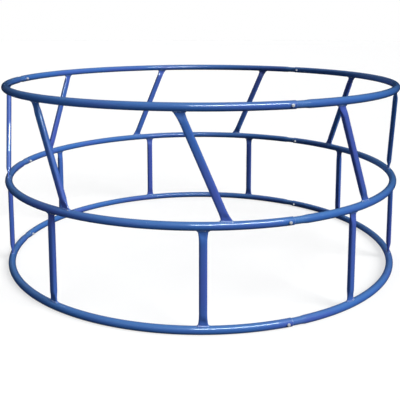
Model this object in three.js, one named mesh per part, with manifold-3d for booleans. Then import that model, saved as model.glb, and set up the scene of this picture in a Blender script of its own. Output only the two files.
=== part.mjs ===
// Round bale feeder: a hay ring of painted steel tube that stands round a big round bale.
//
// Three identical welded sections, a, b and c, make the ring. Each has a third of the top, middle
// and bottom ring tubes, three slanted bars between top and middle, and three upright posts between
// middle and bottom. One end of every ring tube is plain and the other is swaged down to a spigot,
// which slides into the plain end of the section before it. A bolt through each joint holds it.
//
// Millimetres, +Z up. The origin is on the ring's axis, on the ground that the feeder stands on.
// A bearing is an angle in degrees round that axis: 0 at -Y, 90 at +X. Sections run a, b, c with
// rising bearing.
import * as THREE from "three";
import { mergeVertices } from "three/addons/utils/BufferGeometryUtils.js";
import Module from "manifold-3d";

// ---- Driving dimensions ----

// the whole ring
const OUTSIDE_DIAMETER = 2438; // over the ring tubes
const OVERALL_HEIGHT = 1118; // ground to the top of the top ring
const MIDDLE_RING_RISE = 514; // bottom ring's centreline to the middle ring's
const FIRST_JOINT = 20; // bearing of the bolts between sections a and b
const BARS_PER_SECTION = 3;
const SECTIONS = ["a", "b", "c"];

// ring tube, with its plain and swaged ends
const RING_TUBE_OD = 42.2;
const RING_TUBE_WALL = 2;
const SPIGOT_LENGTH = 75; // how far the swaged end goes into the plain end
const SPIGOT_CLEARANCE = 0.5; // all round, between spigot and bore
const NECK_LENGTH = 45; // of swaged tube left showing past the plain end
const NECK_TAPER = 35; // from the neck back to the full tube

// slanted bars and posts: round tube pressed to an oval, and flatter still at its ends
const BAR_WALL = 2;
const BAR_WIDTH = 40; // along the ring
const BAR_THICKNESS = 28; // across the ring
const BAR_END_WIDTH = 50; // where it is flattened against a ring tube
const BAR_PINCH = 60; // from the ring tube's surface to the bar's full thickness
const SLANT = 5.7; // degrees of bearing from a slanted bar's middle to either end
const WELD_GAP = 0.3; // left between a coped end and the ring tube

// joint bolts and nuts
const BOLT_DIAMETER = 9.5;
const BOLT_HOLE_CLEARANCE = 0.75; // all round
const BOLT_TO_EDGE = 25; // from the bolt to the plain end's edge
const HEX_FLATS = 14.3; // across the flats of head and nut
const HEAD_HEIGHT = 6.3;
const NUT_HEIGHT = 8.3;
const THREAD_PAST_NUT = 5;
const THREAD_CLEARANCE = 0.3; // all round, between nut and bolt
const SEAT_GAP = 0.3; // under head and nut

// facets
const TUBE_SIDES = 12;
const CHORDS_PER_SECTION = 16;
const HOLE_SIDES = 8;

// ---- Worked out from them ----

const RING_RADIUS = (OUTSIDE_DIAMETER - RING_TUBE_OD) / 2;
const TUBE_RADIUS = RING_TUBE_OD / 2;
const SPIGOT_RADIUS = TUBE_RADIUS - RING_TUBE_WALL - SPIGOT_CLEARANCE;
const RING_HEIGHTS = {
  top: OVERALL_HEIGHT - TUBE_RADIUS,
  middle: TUBE_RADIUS + MIDDLE_RING_RISE,
  bottom: TUBE_RADIUS,
};
const SECTION_ANGLE = 360 / SECTIONS.length;
const BAR_PITCH = SECTION_ANGLE / BARS_PER_SECTION;
const CHORD_ANGLE = SECTION_ANGLE / CHORDS_PER_SECTION;

// Pressing a tube doesn't change its girth, which is that of two flats and two half rounds.
const BAR_GIRTH = 2 * (BAR_WIDTH - BAR_THICKNESS) + Math.PI * BAR_THICKNESS;
const BAR_END_THICKNESS = (BAR_GIRTH - 2 * BAR_END_WIDTH) / (Math.PI - 2);

const radians = THREE.MathUtils.degToRad;
const bearingOf = (length) => THREE.MathUtils.radToDeg(length / RING_RADIUS);

// A many-sided prism whose flats, not its corners, are at the radius.
const cornerRadius = (flatRadius, sides) => flatRadius / Math.cos(Math.PI / sides);

const finish = (color, roughness, metalness) =>
  new THREE.MeshStandardMaterial({ color, roughness, metalness });
const paint = () => finish(0x2c58b8, 0.32, 0.1);
const zinc = () => finish(0xc9cdd2, 0.38, 0.9);

// ---- Solids ----

const wasm = await Module();
wasm.setup();

function welded(geometry) {
  const bare = geometry.clone();
  bare.deleteAttribute("normal");
  bare.deleteAttribute("uv");
  return mergeVertices(bare, 1e-3);
}

function solidOf(geometry) {
  const { attributes, index } = welded(geometry);
  return new wasm.Manifold(
    new wasm.Mesh({
      numProp: 3,
      vertProperties: new Float32Array(attributes.position.array),
      triVerts: new Uint32Array(index.array),
    }),
  );
}

function geometryOf(solid) {
  const { vertProperties, triVerts } = solid.getMesh();
  const geometry = new THREE.BufferGeometry();
  geometry.setAttribute("position", new THREE.BufferAttribute(new Float32Array(vertProperties), 3));
  geometry.setIndex(new THREE.BufferAttribute(new Uint32Array(triVerts), 1));
  geometry.computeVertexNormals();
  return geometry;
}

// Moves every vertex of a geometry by a function of its place.
function reshape(geometry, move) {
  const position = geometry.getAttribute("position");
  const place = new THREE.Vector3();
  for (let i = 0; i < position.count; i++) {
    place.fromBufferAttribute(position, i);
    move(place);
    position.setXYZ(i, place.x, place.y, place.z);
  }
  return geometry;
}

// A straight tube about the Y axis from stations of { along, radius }, with flats facing X and Z.
// Without a wall it is a solid rod, whose profile starts and ends on the axis.
function latheTube(stations, wall) {
  const point = (radius, along) => new THREE.Vector2(cornerRadius(radius, TUBE_SIDES), along);
  const outside = stations.map(({ along, radius }) => point(radius, along));
  const bore = wall ? stations.map(({ along, radius }) => point(radius - wall, along)) : [];
  const axis = wall ? [] : [point(0, stations[0].along), point(0, stations.at(-1).along)];
  const profile = [...outside, ...bore.reverse(), ...axis.reverse()];
  profile.push(profile[0].clone());
  return new THREE.LatheGeometry(profile, TUBE_SIDES, Math.PI / TUBE_SIDES);
}

// ---- The ring ----

const atBearing = (bearing, radius, height) =>
  new THREE.Vector3(radius * Math.sin(radians(bearing)), -radius * Math.cos(radians(bearing)), height);

const nearestStep = (value, step) => Math.round(value / step) * step;

// The ring's centreline runs in equal chords, one of them centred on each joint.
function centrelineRadius(bearing) {
  const fromJoint = bearing - FIRST_JOINT;
  const fromChordMiddle = fromJoint - nearestStep(fromJoint, CHORD_ANGLE);
  return (RING_RADIUS * Math.cos(radians(CHORD_ANGLE / 2))) / Math.cos(radians(fromChordMiddle));
}

// Rolls a straight tube, made along Y in degrees of bearing, round the ring at a height.
const rollRound = (geometry, height) =>
  reshape(geometry, (place) => {
    const { x: outward, y: bearing, z: upward } = place;
    place.copy(atBearing(bearing, centrelineRadius(bearing) + outward, height + upward));
  });

// The bearings between two others where the chords meet.
function chordCorners(from, to) {
  const corners = [];
  const first = FIRST_JOINT + CHORD_ANGLE / 2 - 360;
  for (let bearing = first; bearing < to; bearing += CHORD_ANGLE) {
    if (bearing > from) corners.push(bearing);
  }
  return corners;
}

// The radius of a ring tube at each bearing of its length: spigot, neck, taper, full tube.
function ringTubeStations(startJoint) {
  const edge = startJoint + bearingOf(BOLT_TO_EDGE);
  const tip = edge - bearingOf(SPIGOT_LENGTH);
  const neckEnd = edge + bearingOf(NECK_LENGTH);
  const taperEnd = neckEnd + bearingOf(NECK_TAPER);
  const plainEdge = edge + SECTION_ANGLE;
  const radiusAt = (bearing) =>
    THREE.MathUtils.mapLinear(
      THREE.MathUtils.clamp(bearing, neckEnd, taperEnd),
      neckEnd,
      taperEnd,
      SPIGOT_RADIUS,
      TUBE_RADIUS,
    );
  return [tip, neckEnd, taperEnd, plainEdge, ...chordCorners(tip, plainEdge)]
    .sort((one, other) => one - other)
    .map((bearing) => ({ along: bearing, radius: radiusAt(bearing) }));
}

// A rod across the ring at a bearing and height, from one distance off the centreline to another.
function radialRod(bearing, height, from, to, radius, sides) {
  const rod = new THREE.CylinderGeometry(radius, radius, to - from, sides, 1, false, Math.PI / sides);
  rod.translate(0, -centrelineRadius(bearing) - (from + to) / 2, 0);
  rod.rotateZ(radians(bearing));
  rod.translate(0, 0, height);
  return solidOf(rod);
}

function boltHole(joint, height) {
  const radius = cornerRadius(BOLT_DIAMETER / 2 + BOLT_HOLE_CLEARANCE, HOLE_SIDES);
  return radialRod(joint, height, -RING_TUBE_OD, RING_TUBE_OD, radius, HOLE_SIDES);
}

function ringTube(startJoint, height) {
  const tube = solidOf(rollRound(latheTube(ringTubeStations(startJoint), RING_TUBE_WALL), height));
  const endJoint = startJoint + SECTION_ANGLE;
  return geometryOf(tube.subtract(boltHole(startJoint, height)).subtract(boltHole(endJoint, height)));
}

// ---- Slanted bars and posts ----

// Presses a round tube about Y to an oval, wide along X, and flatter towards both its ends.
function pressOval(geometry, length) {
  const roundRadius = BAR_WIDTH / 2;
  return reshape(geometry, (place) => {
    const fromEnd = Math.min(place.y, length - place.y) - TUBE_RADIUS;
    const openness = THREE.MathUtils.clamp(fromEnd / BAR_PINCH, 0, 1);
    const width = THREE.MathUtils.lerp(BAR_END_WIDTH, BAR_WIDTH, openness);
    const thickness = THREE.MathUtils.lerp(BAR_END_THICKNESS, BAR_THICKNESS, openness);
    const fromAxis = Math.hypot(place.x, place.z) * Math.cos(Math.PI / TUBE_SIDES);
    const inward = roundRadius - fromAxis; // nothing on the outside, the wall on the inside
    const shrink = (thickness / 2 - inward) / fromAxis;
    place.x = place.x * shrink + (Math.sign(place.x) * (width - thickness)) / 2;
    place.z *= shrink;
  });
}

// The space a ring tube and its weld gap take up near a bearing, to cope a bar's end with.
function ringEnvelope(bearing, height) {
  const reach = bearingOf(2 * BAR_END_WIDTH);
  const ends = [bearing - reach, bearing + reach];
  const stations = [ends[0], ...chordCorners(...ends), ends[1]].map((along) => ({
    along,
    radius: TUBE_RADIUS + WELD_GAP,
  }));
  return solidOf(rollRound(latheTube(stations, 0), height));
}

// A pressed tube between two ring tubes, each end { bearing, height } on a ring's centreline.
function pressedBar(lower, upper) {
  const foot = atBearing(lower.bearing, centrelineRadius(lower.bearing), lower.height);
  const head = atBearing(upper.bearing, centrelineRadius(upper.bearing), upper.height);
  const along = new THREE.Vector3().subVectors(head, foot);
  const length = along.length();
  const ends = [0, TUBE_RADIUS, TUBE_RADIUS + BAR_PINCH / 2, TUBE_RADIUS + BAR_PINCH];
  const stations = [...ends, ...ends.map((end) => length - end).reverse()];
  const tube = latheTube(
    stations.map((station) => ({ along: station, radius: BAR_WIDTH / 2 })),
    BAR_WALL,
  );
  pressOval(tube, length);
  along.normalize();
  const outward = atBearing((lower.bearing + upper.bearing) / 2, 1, 0);
  const sideways = new THREE.Vector3().crossVectors(along, outward).normalize();
  tube.applyMatrix4(new THREE.Matrix4().makeBasis(sideways, along, outward.crossVectors(sideways, along)));
  tube.translate(foot.x, foot.y, foot.z);
  const coped = solidOf(tube)
    .subtract(ringEnvelope(lower.bearing, lower.height))
    .subtract(ringEnvelope(upper.bearing, upper.height));
  return geometryOf(coped);
}

const slantBar = (bearing) =>
  pressedBar(
    { bearing: bearing + SLANT, height: RING_HEIGHTS.middle },
    { bearing: bearing - SLANT, height: RING_HEIGHTS.top },
  );

const post = (bearing) =>
  pressedBar({ bearing, height: RING_HEIGHTS.bottom }, { bearing, height: RING_HEIGHTS.middle });

// ---- Bolts and nuts ----

const hexCorner = cornerRadius(HEX_FLATS / 2, 6);
const headSeat = TUBE_RADIUS + SEAT_GAP;
const nutFace = -headSeat - NUT_HEIGHT;

function bolt(joint, height) {
  const shankRadius = cornerRadius(BOLT_DIAMETER / 2, HOLE_SIDES);
  const threadEnd = nutFace - THREAD_PAST_NUT;
  const insideHead = headSeat + HEAD_HEIGHT / 2;
  const head = radialRod(joint, height, headSeat, headSeat + HEAD_HEIGHT, hexCorner, 6);
  const shank = radialRod(joint, height, threadEnd, insideHead, shankRadius, HOLE_SIDES);
  return geometryOf(head.add(shank));
}

function nut(joint, height) {
  const hole = cornerRadius(BOLT_DIAMETER / 2 + THREAD_CLEARANCE, HOLE_SIDES);
  const blank = radialRod(joint, height, nutFace, -headSeat, hexCorner, 6);
  return geometryOf(blank.subtract(radialRod(joint, height, nutFace - 1, 1 - headSeat, hole, HOLE_SIDES)));
}

// ---- The feeder ----

const feeder = new THREE.Group();

function addPiece(group, name, geometry, material) {
  const piece = new THREE.Mesh(geometry, material);
  piece.name = name;
  group.add(piece);
}

SECTIONS.forEach((letter, index) => {
  const section = new THREE.Group();
  const startJoint = FIRST_JOINT + (index - 1) * SECTION_ANGLE;
  for (const [ring, height] of Object.entries(RING_HEIGHTS)) {
    addPiece(section, `${ring}_ring_${letter}`, ringTube(startJoint, height), paint());
  }
  for (let bar = 1; bar <= BARS_PER_SECTION; bar++) {
    const bearing = startJoint + (bar - 0.5) * BAR_PITCH;
    addPiece(section, `slant_bar_${letter}${bar}`, slantBar(bearing), paint());
    addPiece(section, `post_${letter}${bar}`, post(bearing), paint());
  }
  feeder.add(section);
});

SECTIONS.forEach((letter, index) => {
  const fasteners = new THREE.Group();
  const joint = FIRST_JOINT + index * SECTION_ANGLE;
  const between = letter + SECTIONS[(index + 1) % SECTIONS.length];
  for (const [ring, height] of Object.entries(RING_HEIGHTS)) {
    addPiece(fasteners, `bolt_${ring}_${between}`, bolt(joint, height), zinc());
    addPiece(fasteners, `nut_${ring}_${between}`, nut(joint, height), zinc());
  }
  feeder.add(fasteners);
});

export default feeder;
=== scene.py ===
import math
import random

import bmesh
import bpy
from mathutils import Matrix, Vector


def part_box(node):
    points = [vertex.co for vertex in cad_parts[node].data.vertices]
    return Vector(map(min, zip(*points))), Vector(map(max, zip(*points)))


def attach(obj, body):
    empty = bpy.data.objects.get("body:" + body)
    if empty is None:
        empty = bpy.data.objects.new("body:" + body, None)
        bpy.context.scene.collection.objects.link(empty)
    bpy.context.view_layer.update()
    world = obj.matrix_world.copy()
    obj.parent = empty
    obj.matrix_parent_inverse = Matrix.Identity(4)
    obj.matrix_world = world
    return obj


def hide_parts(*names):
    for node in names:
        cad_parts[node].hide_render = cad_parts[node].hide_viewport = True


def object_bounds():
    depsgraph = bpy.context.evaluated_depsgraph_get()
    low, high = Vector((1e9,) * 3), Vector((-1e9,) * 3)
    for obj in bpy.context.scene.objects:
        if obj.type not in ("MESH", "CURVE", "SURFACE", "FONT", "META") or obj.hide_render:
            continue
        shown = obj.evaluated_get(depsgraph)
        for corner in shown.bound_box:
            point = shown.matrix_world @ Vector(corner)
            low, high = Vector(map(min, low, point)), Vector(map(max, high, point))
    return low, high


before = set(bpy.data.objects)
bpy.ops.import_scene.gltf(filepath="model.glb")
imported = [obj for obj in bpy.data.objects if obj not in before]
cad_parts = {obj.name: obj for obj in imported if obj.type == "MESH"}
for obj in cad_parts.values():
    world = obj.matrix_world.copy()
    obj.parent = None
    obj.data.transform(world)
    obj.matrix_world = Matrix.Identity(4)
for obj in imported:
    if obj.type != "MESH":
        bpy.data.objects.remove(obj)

# A hay ring of painted steel tube that a big round bale stands in: three equal
# welded sections, a, b and c, pushed together end to end and bolted.

# ---------------------------------------------------------------------------
# The studio
# A pale floor under a dim sky, with a broad soft light at the right, a softer one
# close in at the left, a faint one behind, and a long narrow one overhead that the
# gloss of the tubes picks up. The camera stands at the front.
# ---------------------------------------------------------------------------

cad_low, cad_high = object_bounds()


class Wire:
    """A socket in a node tree, so that shader maths reads as arithmetic."""

    def __init__(self, tree, socket=None):
        self.tree = tree
        self.socket = socket

    def node(self, kind, settings=None, sockets=None, out=0):
        """A new node: its settings are set first, then the values or wires of its sockets."""
        made = self.tree.nodes.new(kind)
        for name, value in (settings or {}).items():
            if name == "stops":
                set_stops(made.color_ramp, value)
            else:
                setattr(made, name, value)
        for name, value in (sockets or {}).items():
            if isinstance(value, Wire):
                self.tree.links.new(value.socket, made.inputs[name])
            else:
                made.inputs[name].default_value = value
        return Wire(self.tree, made.outputs[out] if made.outputs else None)

    def maths(self, operation, first, second=0.0):
        return self.node("ShaderNodeMath", {"operation": operation}, {0: first, 1: second})

    def __add__(self, other):
        return self.maths("ADD", self, other)

    __radd__ = __add__

    def __mul__(self, other):
        return self.maths("MULTIPLY", self, other)

    __rmul__ = __mul__

    def __sub__(self, other):
        return self.maths("SUBTRACT", self, other)

    def __rsub__(self, other):
        return self.maths("SUBTRACT", other, self)

    def between(self, low, high):
        """0 up to low, 1 from high on, and smooth in between."""
        return self.node(
            "ShaderNodeMapRange",
            {"interpolation_type": "SMOOTHSTEP"},
            {"Value": self, "From Min": low, "From Max": high},
        )

    def noise(self, scale, detail=2.0, roughness=0.5):
        """Noise over the place that this wire carries, with about scale blobs to the metre."""
        sockets = {"Vector": self, "Scale": scale, "Detail": detail, "Roughness": roughness}
        return self.node("ShaderNodeTexNoise", None, sockets)

    def mix(self, first, second):
        """Between two colours by this wire."""
        sockets = {"Factor": self, 6: first, 7: second}
        return self.node("ShaderNodeMix", {"data_type": "RGBA"}, sockets, out=2)


def set_stops(ramp, stops):
    while len(ramp.elements) < len(stops):
        ramp.elements.new(1.0)
    for element, (position, colour) in zip(ramp.elements, stops):
        element.position = position
        element.color = colour


def rgb(red, green, blue):
    return (red, green, blue, 1.0)


def new_finish(name):
    """An empty material, and a wire to start its nodes from."""
    material = bpy.data.materials.new(name)
    material.use_nodes = True
    material.node_tree.nodes.clear()
    return material, Wire(material.node_tree)


def mesh_object(name, points, faces):
    mesh = bpy.data.meshes.new(name)
    mesh.from_pydata(points, [], faces)
    made = bpy.data.objects.new(name, mesh)
    bpy.context.scene.collection.objects.link(made)
    return made


def at_bearing(bearing, radius, height):
    """A place by its angle round the ring's axis, 0 at -Y and rising towards +X."""
    return Vector((radius * math.sin(bearing), -radius * math.cos(bearing), height))


def turns_of(sides):
    """The angles of equal steps once round."""
    return [2 * math.pi * side / sides for side in range(sides)]


FLOOR_RADIUS = 40.0
FLOOR_SIDES = 96
FLOOR_DROP = 0.0005  # keeps the floor just under the bottom ring


def floor_finish():
    material, start = new_finish("studio_floor")
    place = start.node("ShaderNodeTexCoord", out="Object")
    mottle = place.noise(3.0).mix(rgb(0.34, 0.337, 0.334), rgb(0.37, 0.367, 0.364))
    sockets = {
        "Base Color": mottle,
        "Roughness": 0.9,
        "Emission Color": rgb(1, 1, 1),
        "Emission Strength": 0.61,
    }
    surface = start.node("ShaderNodeBsdfPrincipled", None, sockets)
    start.node("ShaderNodeOutputMaterial", None, {"Surface": surface})
    return material


floor_edge = [at_bearing(turn, FLOOR_RADIUS, -FLOOR_DROP) for turn in turns_of(FLOOR_SIDES)]
studio_floor = mesh_object("studio_floor", floor_edge, [tuple(range(FLOOR_SIDES))])
studio_floor.data.materials.append(floor_finish())
studio_floor.visible_diffuse = False
studio_floor.visible_glossy = False

# The sky of the studio: grey overhead, dimming to nearly black at the horizon and under the
# floor. The camera sees plain white in its place.
world = bpy.data.worlds.new("studio_sky")
world.use_nodes = True
world.node_tree.nodes.clear()
sky = Wire(world.node_tree)
direction = sky.node("ShaderNodeTexCoord", out="Generated")
rise = sky.node("ShaderNodeSeparateXYZ", None, {0: direction}, out=2)
sky_colours = [
    (0.0, rgb(0.006, 0.006, 0.010)),
    (0.55, rgb(0.008, 0.008, 0.014)),
    (0.70, rgb(0.03, 0.035, 0.04)),
    (0.86, rgb(0.14, 0.16, 0.18)),
    (1.0, rgb(0.24, 0.27, 0.29)),
]
glow = sky.node("ShaderNodeValToRGB", {"stops": sky_colours}, {0: rise * 0.5 + 0.5})
lighting = sky.node("ShaderNodeBackground", None, {"Color": glow, "Strength": 0.9})
backdrop = sky.node("ShaderNodeBackground", None, {"Color": rgb(1, 1, 1), "Strength": 1.0})
seen = sky.node("ShaderNodeLightPath", out="Is Camera Ray")
whole_sky = sky.node("ShaderNodeMixShader", None, {0: seen, 1: lighting, 2: backdrop})
sky.node("ShaderNodeOutputWorld", None, {"Surface": whole_sky})
bpy.context.scene.world = world
bpy.context.scene.view_settings.view_transform = "Standard"


def place_light(name, light, spot, target):
    """A light at a spot, aimed at a target."""
    made = bpy.data.objects.new(name, light)
    made.location = spot
    made.rotation_euler = (spot - target).to_track_quat("Z", "Y").to_euler()
    made.visible_camera = False
    bpy.context.scene.collection.objects.link(made)
    return made


SUN_DISTANCE = 6.0


def sun_light(name, energy, spread, bearing, rise):
    """A light from far off, with its spread and place in degrees, that gloss doesn't show."""
    sun = bpy.data.lights.new(name, "SUN")
    sun.energy = energy
    sun.angle = math.radians(spread)
    level, up = math.cos(math.radians(rise)), math.sin(math.radians(rise))
    way = at_bearing(math.radians(bearing), level, up)
    middle = Vector((0, 0, cad_high.z / 2))
    place_light(name, sun, middle + way * SUN_DISTANCE, middle).visible_glossy = False
    return sun


def panel_light(name, energy, width, depth, spot, target):
    """A flat light near the feeder, in metres and watts."""
    panel = bpy.data.lights.new(name, "AREA")
    panel.shape = "RECTANGLE"
    panel.size = width
    panel.size_y = depth
    panel.energy = energy
    return place_light(name, panel, Vector(spot), Vector(target))


sun_light("key_light", energy=4.8, spread=38, bearing=59, rise=33)
sun_light("back_light", energy=2.4, spread=60, bearing=205, rise=10).use_shadow = False

fill_at, fill_aim = (-1.6, -3.0, 1.3), (-0.5, -0.9, 0.6)
fill = panel_light("fill_light", 22, width=1.5, depth=1.5, spot=fill_at, target=fill_aim)
fill.visible_glossy = False

strip_at, strip_aim = (1.08, -3.2, 3.3), (0.2, -1.2, 0.6)
strip = panel_light("strip_light", 170, width=3.2, depth=0.22, spot=strip_at, target=strip_aim)
strip.data.color = (0.86, 0.97, 1.0)
strip.visible_diffuse = False

CAMERA_BEARING = -0.556  # degrees
CAMERA_DISTANCE = 4.098  # from the ring's axis
CAMERA_HEIGHT = 1.497
CAMERA_PITCH = 7.94  # degrees below level
CAMERA_TURN = 0.06  # degrees left of the ring's axis
CAMERA_LENS = 58.0
CAMERA_SHIFT = -0.23  # how far down the picture is moved

camera_data = bpy.data.cameras.new("camera")
camera_data.lens = CAMERA_LENS
camera_data.shift_y = CAMERA_SHIFT
camera = bpy.data.objects.new("camera", camera_data)
camera.location = at_bearing(math.radians(CAMERA_BEARING), CAMERA_DISTANCE, CAMERA_HEIGHT)
camera.rotation_euler = (
    math.radians(90 - CAMERA_PITCH),
    0,
    math.radians(CAMERA_BEARING + CAMERA_TURN),
)
bpy.context.scene.collection.objects.link(camera)
bpy.context.scene.camera = camera

# ---------------------------------------------------------------------------
# Ring tubes
# Nine lengths of round steel tube, rolled to a third of the ring each. One end
# is sawn off plain and the other is swaged down to a spigot, which slides into
# the plain end before it. They are dipped in glossy blue enamel after welding.
# ---------------------------------------------------------------------------

MM = 0.001
LETTERS = "abc"  # of the sections
RINGS = ("bottom", "middle", "top")
FIRST_JOINT = math.radians(20)
SECTION_ANGLE = math.radians(120)


def ring_height(ring):
    low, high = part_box(f"{ring}_ring_a")
    return (low.z + high.z) / 2


TUBE_RADIUS = (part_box("bottom_ring_a")[1].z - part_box("bottom_ring_a")[0].z) / 2
RING_RADIUS = (cad_high.x - cad_low.x) / 2 - TUBE_RADIUS
RING_HEIGHTS = {ring: ring_height(ring) for ring in RINGS}

TUBE_WALL = 2 * MM
SPIGOT_CLEARANCE = 0.5 * MM
SPIGOT_RADIUS = TUBE_RADIUS - TUBE_WALL - SPIGOT_CLEARANCE
SPIGOT_LENGTH = 75 * MM
BOLT_TO_EDGE = 25 * MM  # from a joint's bolt to the plain end's edge
NECK_LENGTH = 45 * MM  # of swaged tube left showing
NECK_TAPER = 35 * MM  # from the neck back to the full tube
NECK_STEPS = 8  # loops in the taper
NECK_MARKS = [-40 * MM, -20 * MM, 0, 22 * MM]  # loops along the spigot and neck
SAWN_ROUNDING = 0.45 * MM  # of the tube's sawn ends
BOLT_HOLE_RADIUS = 5.5 * MM
BOLT_HOLE_SIDES = 24
TUBE_SIDES = 36
TUBE_STEP = 26 * MM  # between loops along the full tube

ENAMEL_BLUE = rgb(0.037, 0.118, 0.37)
ENAMEL_VIOLET = rgb(0.056, 0.090, 0.37)
# Pale cyan enamel: a dusty film and a painted top light where the enamel faces up, thinned paint on
# the necks, blotches on the welds.
ENAMEL_PALE_CYAN = rgb(0.068, 0.19, 0.42)
ENAMEL_DARK = rgb(0.022, 0.045, 0.17)
BARE_STEEL = rgb(0.62, 0.64, 0.68)


def smooth_step(value):
    value = min(max(value, 0.0), 1.0)
    return value * value * (3 - 2 * value)


def tube_body(name, loops):
    """A closed body from loops of points, each joined to the next and the last to the first."""
    sides = len(loops[0])
    points = [point for loop in loops for point in loop]
    faces = []
    for row in range(len(loops)):
        following = (row + 1) % len(loops)
        for side in range(sides):
            beside = (side + 1) % sides
            faces.append(
                (
                    row * sides + side,
                    row * sides + beside,
                    following * sides + beside,
                    following * sides + side,
                )
            )
    return mesh_object(name, points, faces)


def rod_body(name, loops):
    """A closed body from loops of points, with a flat face over each end."""
    sides = len(loops[0])
    made = tube_body(name, loops)
    edit = bmesh.new()
    edit.from_mesh(made.data)
    edit.faces.ensure_lookup_table()
    bridge = edit.faces[(len(loops) - 1) * sides :]
    bmesh.ops.delete(edit, geom=bridge, context="FACES")
    bmesh.ops.holes_fill(edit, edges=edit.edges, sides=0)
    edit.to_mesh(made.data)
    edit.free()
    return made


def turn_faces_out(body):
    edit = bmesh.new()
    edit.from_mesh(body.data)
    bmesh.ops.recalc_face_normals(edit, faces=edit.faces)
    edit.to_mesh(body.data)
    edit.free()


def finish_piece(piece, material, sharp_angle=32):
    """Turns a piece's faces outwards, smooths it between sharp edges and gives it its finish."""
    turn_faces_out(piece)
    piece.data.shade_smooth()
    piece.data.set_sharp_from_angle(angle=math.radians(sharp_angle))
    piece.data.materials.clear()
    piece.data.materials.append(material)
    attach(piece, "root")


def round_loop(bearing, height, radius):
    """The points round a ring tube's section at a bearing."""
    loop = []
    for turn in turns_of(TUBE_SIDES):
        outward = RING_RADIUS + radius * math.cos(turn)
        loop.append(at_bearing(bearing, outward, height + radius * math.sin(turn)))
    return loop


def bearing_of(length):
    """The bearing that a length along the ring's centreline takes up."""
    return length / RING_RADIUS


def swaged_radius(past_edge):
    """The tube's outer radius at a distance past the plain edge that its spigot goes into."""
    taper = smooth_step((past_edge - NECK_LENGTH) / NECK_TAPER)
    return SPIGOT_RADIUS + (TUBE_RADIUS - SPIGOT_RADIUS) * taper


def ring_stations(length):
    """Distances past the first plain edge, with the outer radius at each, tip to plain edge."""
    tip = -SPIGOT_LENGTH
    body_start = NECK_LENGTH + NECK_TAPER
    steps = math.ceil((length - body_start) / TUBE_STEP)
    marks = [tip, tip + SAWN_ROUNDING, tip + 2 * SAWN_ROUNDING] + NECK_MARKS
    marks += [NECK_LENGTH + NECK_TAPER * step / NECK_STEPS for step in range(NECK_STEPS)]
    marks += [body_start + (length - body_start) * step / steps for step in range(steps)]
    marks += [length - 2 * SAWN_ROUNDING, length - SAWN_ROUNDING, length]
    stations = []
    for mark in marks:
        radius = swaged_radius(mark)
        from_end = min(mark - tip, length - mark)
        radius -= SAWN_ROUNDING * max(0.0, 1 - from_end / SAWN_ROUNDING) ** 2
        stations.append((mark, radius))
    return stations


def drill(piece, bearing, height):
    """Drills a bolt hole through both walls of a ring tube."""
    across = at_bearing(bearing, 1, 0)
    drill_loops = []
    for end in (-2 * TUBE_RADIUS, 2 * TUBE_RADIUS):
        loop = []
        for turn in turns_of(BOLT_HOLE_SIDES):
            around = at_bearing(bearing + math.pi / 2, BOLT_HOLE_RADIUS * math.cos(turn), 0)
            rise = Vector((0, 0, height + BOLT_HOLE_RADIUS * math.sin(turn)))
            loop.append(across * (RING_RADIUS + end) + around + rise)
        drill_loops.append(loop)
    bit = rod_body("drill_bit", drill_loops)
    turn_faces_out(bit)
    cut = piece.modifiers.new("bolt_hole", "BOOLEAN")
    cut.operation = "DIFFERENCE"
    cut.solver = "EXACT"
    cut.object = bit
    evaluated = piece.evaluated_get(bpy.context.evaluated_depsgraph_get())
    drilled = bpy.data.meshes.new_from_object(evaluated)
    piece.modifiers.clear()
    piece.data = drilled
    bpy.data.objects.remove(bit)


def ring_tube(name, start_joint, height):
    """A third of a ring, from inside the joint it starts at to the plain edge at the next."""
    edge = start_joint + bearing_of(BOLT_TO_EDGE)
    stations = ring_stations(SECTION_ANGLE * RING_RADIUS)
    outside = [round_loop(edge + bearing_of(mark), height, radius) for mark, radius in stations]
    bore = [
        round_loop(edge + bearing_of(mark), height, radius - TUBE_WALL)
        for mark, radius in reversed(stations)
    ]
    made = tube_body(name, outside + bore)
    turn_faces_out(made)
    drill(made, start_joint, height)
    drill(made, start_joint + SECTION_ANGLE, height)
    return made


def distance_past_edge(place, start):
    """How far along the ring a place is past the nearest plain edge, below 0 before it."""
    x = start.node("ShaderNodeSeparateXYZ", None, {0: place}, out=0)
    y = start.node("ShaderNodeSeparateXYZ", None, {0: place}, out=1)
    bearing = start.maths("ARCTAN2", x, 0.0 - y)
    edge = FIRST_JOINT + bearing_of(BOLT_TO_EDGE)
    # The half puts each edge midway through a count, and the 3 keeps the counts above 0.
    sections = (bearing - edge) * (1 / SECTION_ANGLE) + 3.5
    return (start.maths("FRACT", sections) - 0.5) * (SECTION_ANGLE * RING_RADIUS)


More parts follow.
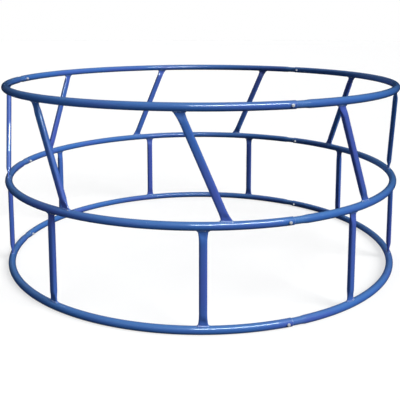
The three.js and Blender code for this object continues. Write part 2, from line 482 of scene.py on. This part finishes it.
def enamel(name, violet_share, worn_at_joints):
    """Glossy blue enamel: it drifts towards violet, is dusty and lighter where it faces up, the
    lighter part a painted top light, and is chipped.
    """
    material, start = new_finish(name)
    place = start.node("ShaderNodeTexCoord", out="Object")
    facing = start.node("ShaderNodeNewGeometry", out="Normal")
    upward = start.node("ShaderNodeSeparateXYZ", None, {0: facing}, out=2)

    drift = (place.noise(2.3) + violet_share).between(0.42, 0.78)
    base = drift.mix(ENAMEL_BLUE, ENAMEL_VIOLET)
    # Up-facing enamel turns pale cyan: partly a dusty film, partly a painted top light.
    dust_and_top_light = upward.between(0.15, 0.95) * (place.noise(26.0, 4.0) * 0.5 + 0.2)
    base = dust_and_top_light.mix(base, ENAMEL_PALE_CYAN)
    splash = place.noise(60.0, 5.0, 0.7).between(0.62, 0.74) * 0.22
    base = splash.mix(base, ENAMEL_DARK)

    speckle = place.noise(340.0, 3.0, 0.6)
    chips = speckle.between(0.73, 0.75)
    if worn_at_joints:
        past_edge = distance_past_edge(place, start)
        rubbed = 1 - start.maths("ABSOLUTE", past_edge).between(0.8 * MM, 5 * MM)
        neck = past_edge.between(-1 * MM, 0.0) * (1 - past_edge.between(50 * MM, 85 * MM))
        thinned = neck * (speckle * 0.5 + 0.1)
        base = thinned.mix(base, ENAMEL_PALE_CYAN)
        chips = (speckle + rubbed * 0.16 + neck * 0.03).between(0.72, 0.74)
    colour = chips.mix(base, BARE_STEEL)

    smudge = place.noise(14.0, 5.0, 0.6)
    roughness = smudge * 0.16 + 0.24 + dust_and_top_light * 0.10 + chips * 0.10
    peel = place.noise(170.0, 2.0)
    runs = place.noise(9.0, 1.0)
    relief = peel * 0.5 + runs * 1.2 - chips * 0.8
    bump = start.node(
        "ShaderNodeBump", None, {"Strength": 0.10, "Distance": 0.002, "Height": relief}
    )
    surface = start.node(
        "ShaderNodeBsdfPrincipled",
        None,
        {
            "Base Color": colour,
            "Roughness": roughness,
            "Metallic": chips * 0.9,
            "Specular IOR Level": 0.3,
            "Coat Weight": 1.0,
            "Coat Roughness": 0.05,
            "Coat IOR": 1.6,
            "Normal": bump,
        },
    )
    start.node("ShaderNodeOutputMaterial", None, {"Surface": surface})
    return material


ring_enamel = enamel("ring_enamel", violet_share=0.0, worn_at_joints=True)

for index, letter in enumerate(LETTERS):
    start_joint = FIRST_JOINT + (index - 1) * SECTION_ANGLE
    for ring in RINGS:
        tube = ring_tube(f"{ring}_rolled_tube_{letter}", start_joint, RING_HEIGHTS[ring])
        finish_piece(tube, ring_enamel)
        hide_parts(f"{ring}_ring_{letter}")

# ---------------------------------------------------------------------------
# Slanted bars and posts
# Eighteen lengths of steel tube, pressed to a flat oval, with both ends nipped
# flatter and wider and shaped to fit round the ring tubes. The nine slanted
# bars all lean the same way; the posts stand upright below them.
# ---------------------------------------------------------------------------

BARS_PER_SECTION = 3
BAR_PITCH = SECTION_ANGLE / BARS_PER_SECTION
SLANT = math.radians(5.7)  # from a slanted bar's middle to either end, by bearing
BAR_WALL = 2 * MM
BAR_WIDTH = 40 * MM
BAR_THICKNESS = 28 * MM
BAR_END_WIDTH = 53 * MM
BAR_END_THICKNESS = 12 * MM
BAR_NIP = 62 * MM  # how far up from the ring tube the nipped end reaches
NIP_FLARE = 2.2  # higher keeps the extra width closer to the ring tube
NIP_PINCH = 1.15  # the flats are fully pinched 1 / this of the way down the nip
NIP_HOLLOW = 2.6 * MM  # how deep the press dished the flats of a nipped end
HOLLOW_CENTRE = 0.62  # of the way down the nip
HOLLOW_SPREAD = 0.22
HOLLOW_LIMIT = 0.6  # of the half thickness left at any spot
BAR_SQUARENESS = 3.0  # 2 is an ellipse, more is flatter
BAR_SIDES = 48
NIP_STEPS = 22  # loops over each nipped end
NIP_CROWDING = 1.25  # above 1 puts those loops closer together near the ring
NIP_MARGIN = 12 * MM  # of plain bar that the nipped end's loops go on over
MIDDLE_STEPS = 10  # loops over the plain middle
WELD_GAP = 0.3 * MM
SURELY_CLEAR = 0.13  # from a ring's centreline, past where any bar meets its tube
HALVINGS = 40  # of the search for that meeting


def signed_power(value, power):
    return math.copysign(abs(value) ** power, value)


class Bar:
    """A pressed tube between two ring tubes, from a bearing and height at its foot to its head."""

    def __init__(self, foot_bearing, foot_height, head_bearing, head_height):
        self.heights = (foot_height, head_height)
        self.foot = at_bearing(foot_bearing, RING_RADIUS, foot_height)
        head = at_bearing(head_bearing, RING_RADIUS, head_height)
        self.length = (head - self.foot).length
        self.up = (head - self.foot).normalized()
        outward = at_bearing((foot_bearing + head_bearing) / 2, 1, 0)
        self.sideways = self.up.cross(outward).normalized()
        self.outward = self.sideways.cross(self.up).normalized()

    def point(self, side, along, inset=0.0):
        """A point on the bar's skin, or inset from it, at a distance from its foot."""
        turn = 2 * math.pi * side / BAR_SIDES
        from_ring = min(along, self.length - along) - TUBE_RADIUS
        nip = 1 - min(max(from_ring / BAR_NIP, 0.0), 1.0)
        half_width = (BAR_WIDTH + (BAR_END_WIDTH - BAR_WIDTH) * nip**NIP_FLARE) / 2 - inset
        pinch = smooth_step(nip * NIP_PINCH)
        half_depth = (BAR_THICKNESS + (BAR_END_THICKNESS - BAR_THICKNESS) * pinch) / 2 - inset
        power = 2 / BAR_SQUARENESS
        across = half_width * signed_power(math.cos(turn), power)
        depth = half_depth * signed_power(math.sin(turn), power)
        middle = max(0.0, 1 - (across / half_width) ** 2) ** 2
        from_hollow = (nip - HOLLOW_CENTRE) / HOLLOW_SPREAD
        dished = NIP_HOLLOW * math.exp(-(from_hollow**2)) * middle
        depth -= math.copysign(min(dished, abs(depth) * HOLLOW_LIMIT), depth)
        return self.foot + self.up * along + self.sideways * across + self.outward * depth

    def gap_to_ring(self, point, end):
        """How far clear a point is of the ring tube and weld gap at an end, 0 foot and 1 head."""
        beside = math.hypot(point.x, point.y) - RING_RADIUS
        return math.hypot(beside, point.z - self.heights[end]) - TUBE_RADIUS - WELD_GAP

    def reach(self, side, end, inset=0.0):
        """How far from the foot this line of the bar meets the ring tube at an end."""
        sunk, clear = (0.0, SURELY_CLEAR) if end == 0 else (self.length, self.length - SURELY_CLEAR)
        for _ in range(HALVINGS):
            middle = (clear + sunk) / 2
            if self.gap_to_ring(self.point(side, middle, inset), end) > 0:
                clear = middle
            else:
                sunk = middle
        return (clear + sunk) / 2

    def skin(self, inset):
        """Loops of points from foot to head on the bar's skin, or inset from it."""
        low = BAR_NIP + TUBE_RADIUS + NIP_MARGIN
        high = self.length - low
        foot_end = self.nipped_loops(0, low, inset)
        middle = []
        for step in range(MIDDLE_STEPS + 1):
            along = low + (high - low) * step / MIDDLE_STEPS
            middle.append([self.point(side, along, inset) for side in range(BAR_SIDES)])
        head_end = self.nipped_loops(1, high, inset)
        return foot_end + middle + head_end[::-1]

    def nipped_loops(self, end, inner, inset):
        """Loops from where the bar meets a ring tube to a distance from the foot."""
        reaches = [self.reach(side, end, inset) for side in range(BAR_SIDES)]
        loops = []
        for step in range(NIP_STEPS):
            share = (step / NIP_STEPS) ** NIP_CROWDING
            loop = [
                self.point(side, outer + (inner - outer) * share, inset)
                for side, outer in enumerate(reaches)
            ]
            loops.append(loop)
        return loops


def slanted_bar(bearing):
    return Bar(bearing + SLANT, RING_HEIGHTS["middle"], bearing - SLANT, RING_HEIGHTS["top"])


def upright_post(bearing):
    return Bar(bearing, RING_HEIGHTS["bottom"], bearing, RING_HEIGHTS["middle"])


bar_enamel = enamel("bar_enamel", violet_share=0.12, worn_at_joints=False)
bars = []

for index, letter in enumerate(LETTERS):
    start_joint = FIRST_JOINT + (index - 1) * SECTION_ANGLE
    for number in range(BARS_PER_SECTION):
        bearing = start_joint + (number + 0.5) * BAR_PITCH
        place = f"{letter}{number + 1}"
        for kind, node, bar in (
            ("slanted_bar", "slant_bar", slanted_bar(bearing)),
            ("upright_post", "post", upright_post(bearing)),
        ):
            piece = tube_body(f"{kind}_{place}", bar.skin(0.0) + bar.skin(BAR_WALL)[::-1])
            finish_piece(piece, bar_enamel, sharp_angle=50)
            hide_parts(f"{node}_{place}")
            bars.append((letter, bar))

# ---------------------------------------------------------------------------
# Weld beads
# A fillet weld runs all round each end of each bar where it meets a ring tube:
# overlapping ripples of steel, fatter in the sharp corners, painted over with the
# rest, with flecks of bright steel showing through, partly bare and partly painted glints.
# ---------------------------------------------------------------------------

WELD_LEG = 5.5 * MM
RIPPLE_PITCH = 3.2 * MM
RIPPLE_DEPTH = 0.10  # of the leg
WELD_SINK = 1.0 * MM  # how far the bead's hidden side goes into bar and ring
WELD_DRIFT = 0.12  # of the leg, as the welder's hand drifts
WELD_FILL = 0.7  # of the leg, added in the sharpest corners
WELD_BULGE = 0.22  # of the bead's face past flat
WELD_STEPS = 168
WELD_CORNERS = 7
WELD_WAVERS = 24  # drifts of the hand round one bead

weld_random = random.Random(7)


def weld_loops(bar, end):
    """Loops across the bead, one at each step round the bar's end."""
    away = bar.up if end == 0 else -bar.up
    height = bar.heights[end]
    phase = weld_random.random()
    wander = [weld_random.uniform(-1, 1) for _ in range(WELD_WAVERS)]
    travelled = 0.0
    before = None
    loops = []
    for step in range(WELD_STEPS):
        side = BAR_SIDES * step / WELD_STEPS
        along = bar.reach(side, end)
        toe = bar.point(side, along)
        beside = bar.point(side + 0.2, along) - bar.point(side - 0.2, along)
        off_bar = beside.cross(away).normalized()
        centre = at_bearing(math.atan2(toe.x, -toe.y), RING_RADIUS, height)
        off_ring = (toe - centre).normalized()
        if off_bar.dot(toe - bar.foot - bar.up * (toe - bar.foot).dot(bar.up)) < 0:
            off_bar = -off_bar
        along_ring = (off_bar - off_ring * off_bar.dot(off_ring)).normalized()
        travelled += (toe - before).length if before else 0.0
        before = toe
        waver = step / WELD_STEPS * WELD_WAVERS
        share = waver - int(waver)
        drift = wander[int(waver)] * (1 - share) + wander[(int(waver) + 1) % WELD_WAVERS] * share
        ripple = abs(math.sin(math.pi * (travelled / RIPPLE_PITCH + phase)))
        sharp = max(0.0, along_ring.dot(away))
        uneven = WELD_DRIFT * drift + RIPPLE_DEPTH * (ripple - 0.5) + WELD_FILL * sharp
        leg = WELD_LEG * (1 + uneven)
        loop = []
        for corner in range(WELD_CORNERS):
            turn = math.pi / 2 * corner / (WELD_CORNERS - 1)
            out, up = math.cos(turn), math.sin(turn)
            face = leg / (out + up) * (1 + WELD_BULGE * math.sin(2 * turn))
            loop.append(toe + along_ring * (face * out) + away * (face * up))
        loop[0] -= off_ring * WELD_SINK
        loop[-1] -= off_bar * WELD_SINK
        loop.append(toe - off_bar * WELD_SINK - off_ring * WELD_SINK)
        loops.append(loop)
    return loops


def weld_enamel():
    """Enamel over a weld: blotchy, with flecks of bright steel showing through, partly bare steel
    and partly painted glints.
    """
    material, start = new_finish("weld_enamel")
    place = start.node("ShaderNodeTexCoord", out="Object")
    drift = place.noise(30.0, 3.0)
    base = drift.mix(ENAMEL_VIOLET, ENAMEL_PALE_CYAN)
    fleck = place.noise(210.0, 3.0, 0.6)
    # The bright flecks are partly bare steel and partly painted glints.
    bright = fleck.between(0.57, 0.63)
    colour = bright.mix(base, BARE_STEEL)
    scale = place.noise(420.0, 2.0)
    bump = start.node(
        "ShaderNodeBump", None, {"Strength": 0.25, "Distance": 0.001, "Height": scale}
    )
    surface = start.node(
        "ShaderNodeBsdfPrincipled",
        None,
        {
            "Base Color": colour,
            "Roughness": 0.20 + scale * 0.2,
            "Metallic": bright * 0.4,
            "Coat Weight": 0.4,
            "Coat Roughness": 0.1,
            "Normal": bump,
        },
    )
    start.node("ShaderNodeOutputMaterial", None, {"Surface": surface})
    return material


weld_finish = weld_enamel()

for letter in LETTERS:
    beads = []
    for bar_letter, bar in bars:
        if bar_letter == letter:
            beads += [tube_body("bead", weld_loops(bar, end)) for end in (0, 1)]
    welds = bmesh.new()
    for bead in beads:
        welds.from_mesh(bead.data)
        bpy.data.objects.remove(bead)
    mesh = bpy.data.meshes.new(f"weld_beads_{letter}")
    welds.to_mesh(mesh)
    welds.free()
    piece = bpy.data.objects.new(f"weld_beads_{letter}", mesh)
    bpy.context.scene.collection.objects.link(piece)
    finish_piece(piece, weld_finish, sharp_angle=60)

# ---------------------------------------------------------------------------
# Joint bolts and nuts
# A zinc-plated hex bolt goes through each joint from outside, with its head on
# the outside of the ring and its nut inside, so that it locks the spigot in.
# ---------------------------------------------------------------------------

HEX_FLATS = 14.3 * MM
HEAD_HEIGHT = 6.3 * MM
NUT_HEIGHT = 8.3 * MM
SEAT_GAP = 0.3 * MM
WASHER_FACE = 0.5 * MM
WASHER_RADIUS = HEX_FLATS * 0.47  # and of the flat top inside the cut corners
HEX_UNDERCUT = 0.2 * MM  # from the washer face out to the hex's sides
HEX_CORNER_CUT = math.radians(30)
THREAD_RADIUS = 4.75 * MM
THREAD_PITCH = 1.59 * MM
THREAD_DEPTH = 0.8 * MM
THREAD_PAST_NUT = 5 * MM
THREAD_LENGTH = 24 * MM
LOOPS_PER_THREAD = 6
POINT_LENGTH = 1.2 * MM  # of the bolt's end that narrows
POINT_SLOPE = 0.8
POINT_CUT = 1.6 * MM  # off the radius at the bolt's very end
CROWN_MIDDLE = 1.0 * MM  # radius of the flat in the middle of the head
HOLE_CLEARANCE = 0.3 * MM  # between the nut and the bolt
NUT_CHAMFER = 0.6 * MM
HEX_POINTS = 48

SEAT = TUBE_RADIUS + SEAT_GAP


def joint_point(joint, height, out, radius, turn):
    """A point beside a joint's bolt, at a distance out from the ring tube's centreline."""
    sideways = at_bearing(joint + math.pi / 2, radius * math.cos(turn), 0)
    middle = at_bearing(joint, RING_RADIUS + out, height)
    return middle + sideways + Vector((0, 0, radius * math.sin(turn)))


def hex_radius(turn):
    """How far the hex's side is from its middle at a turn."""
    sixth = math.pi / 3
    from_flat = (turn + sixth / 2) % sixth - sixth / 2
    return HEX_FLATS / 2 / math.cos(from_flat)


def joint_loop(joint, height, out_of, radius_of):
    """A loop round a joint's bolt, each of its two measures a length or a function of the turn."""
    loop = []
    for turn in turns_of(HEX_POINTS):
        out = out_of(turn) if callable(out_of) else out_of
        radius = radius_of(turn) if callable(radius_of) else radius_of
        loop.append(joint_point(joint, height, out, radius, turn))
    return loop


def hex_loops(joint, height, seat, crown, crown_radius, seat_radius):
    """A hex with a washer face at its seat and its corners cut off round its crown."""
    way = math.copysign(1, crown - seat)

    def crown_cut(turn):
        return crown - way * (hex_radius(turn) - WASHER_RADIUS) * math.tan(HEX_CORNER_CUT)

    washer = seat + way * WASHER_FACE
    return [
        joint_loop(joint, height, seat, seat_radius),
        joint_loop(joint, height, seat, WASHER_RADIUS),
        joint_loop(joint, height, washer, WASHER_RADIUS),
        joint_loop(joint, height, washer + way * HEX_UNDERCUT, hex_radius),
        joint_loop(joint, height, crown_cut, hex_radius),
        joint_loop(joint, height, crown, WASHER_RADIUS),
        joint_loop(joint, height, crown, crown_radius),
    ]


def thread_radius(out, turn, thread_start):
    """The bolt's radius with a screw thread cut past thread_start, fading at its end."""
    wave = (out / THREAD_PITCH + turn / (2 * math.pi)) % 1
    depth = THREAD_DEPTH * min(1.0, max(0.0, (thread_start - out) / THREAD_PITCH))
    return THREAD_RADIUS - depth * abs(2 * wave - 1)


def bolt_loops(joint, height):
    crown = SEAT + HEAD_HEIGHT
    loops = hex_loops(joint, height, SEAT, crown, CROWN_MIDDLE, THREAD_RADIUS)[::-1]
    tip = -SEAT - NUT_HEIGHT - THREAD_PAST_NUT
    thread_start = tip + THREAD_LENGTH
    loops.append(joint_loop(joint, height, thread_start, THREAD_RADIUS))
    steps = int(THREAD_LENGTH / THREAD_PITCH * LOOPS_PER_THREAD)
    for step in range(1, steps):
        out = thread_start - THREAD_LENGTH * step / steps
        point_cut = max(0.0, POINT_LENGTH - (out - tip)) * POINT_SLOPE

        def radius_of(turn, out=out, point_cut=point_cut):
            return thread_radius(out, turn, thread_start) - point_cut

        loops.append(joint_loop(joint, height, out, radius_of))
    loops.append(joint_loop(joint, height, tip, THREAD_RADIUS - POINT_CUT))
    return loops


def nut_loops(joint, height):
    face = -SEAT - NUT_HEIGHT
    hole = THREAD_RADIUS + HOLE_CLEARANCE
    mouth = hole + NUT_CHAMFER
    loops = hex_loops(joint, height, -SEAT, face, mouth, mouth)
    for out in (face + NUT_CHAMFER, -SEAT - NUT_CHAMFER):
        loops.append(joint_loop(joint, height, out, hole))
    return loops


def zinc_finish():
    """Bright zinc plating with a faint crystal pattern and a bloom of white rust."""
    material, start = new_finish("bright_zinc")
    place = start.node("ShaderNodeTexCoord", out="Object")
    grain = start.node("ShaderNodeTexVoronoi", None, {"Vector": place, "Scale": 620.0}, out=1)
    tone = start.node("ShaderNodeRGBToBW", None, {0: grain})
    base = tone.mix(rgb(0.80, 0.82, 0.86), rgb(0.92, 0.93, 0.94))
    bloom = place.noise(260.0, 4.0, 0.6).between(0.56, 0.70)
    colour = bloom.mix(base, rgb(0.78, 0.78, 0.76))
    relief = place.noise(900.0, 3.0) + tone * 0.2
    bump = start.node(
        "ShaderNodeBump", None, {"Strength": 0.12, "Distance": 0.0006, "Height": relief}
    )
    surface = start.node(
        "ShaderNodeBsdfPrincipled",
        None,
        {
            "Base Color": colour,
            "Roughness": tone * 0.10 + 0.30 + bloom * 0.3,
            "Metallic": 0.55 - bloom * 0.35,
            "Normal": bump,
        },
    )
    start.node("ShaderNodeOutputMaterial", None, {"Surface": surface})
    return material


bright_zinc = zinc_finish()

for index, letter in enumerate(LETTERS):
    joint = FIRST_JOINT + index * SECTION_ANGLE
    between = letter + LETTERS[(index + 1) % len(LETTERS)]
    for ring in RINGS:
        height = RING_HEIGHTS[ring]
        bolt = rod_body(f"hex_bolt_{ring}_{between}", bolt_loops(joint, height))
        finish_piece(bolt, bright_zinc)
        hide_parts(f"bolt_{ring}_{between}")
        nut = tube_body(f"hex_nut_{ring}_{between}", nut_loops(joint, height))
        finish_piece(nut, bright_zinc)
        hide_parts(f"nut_{ring}_{between}")
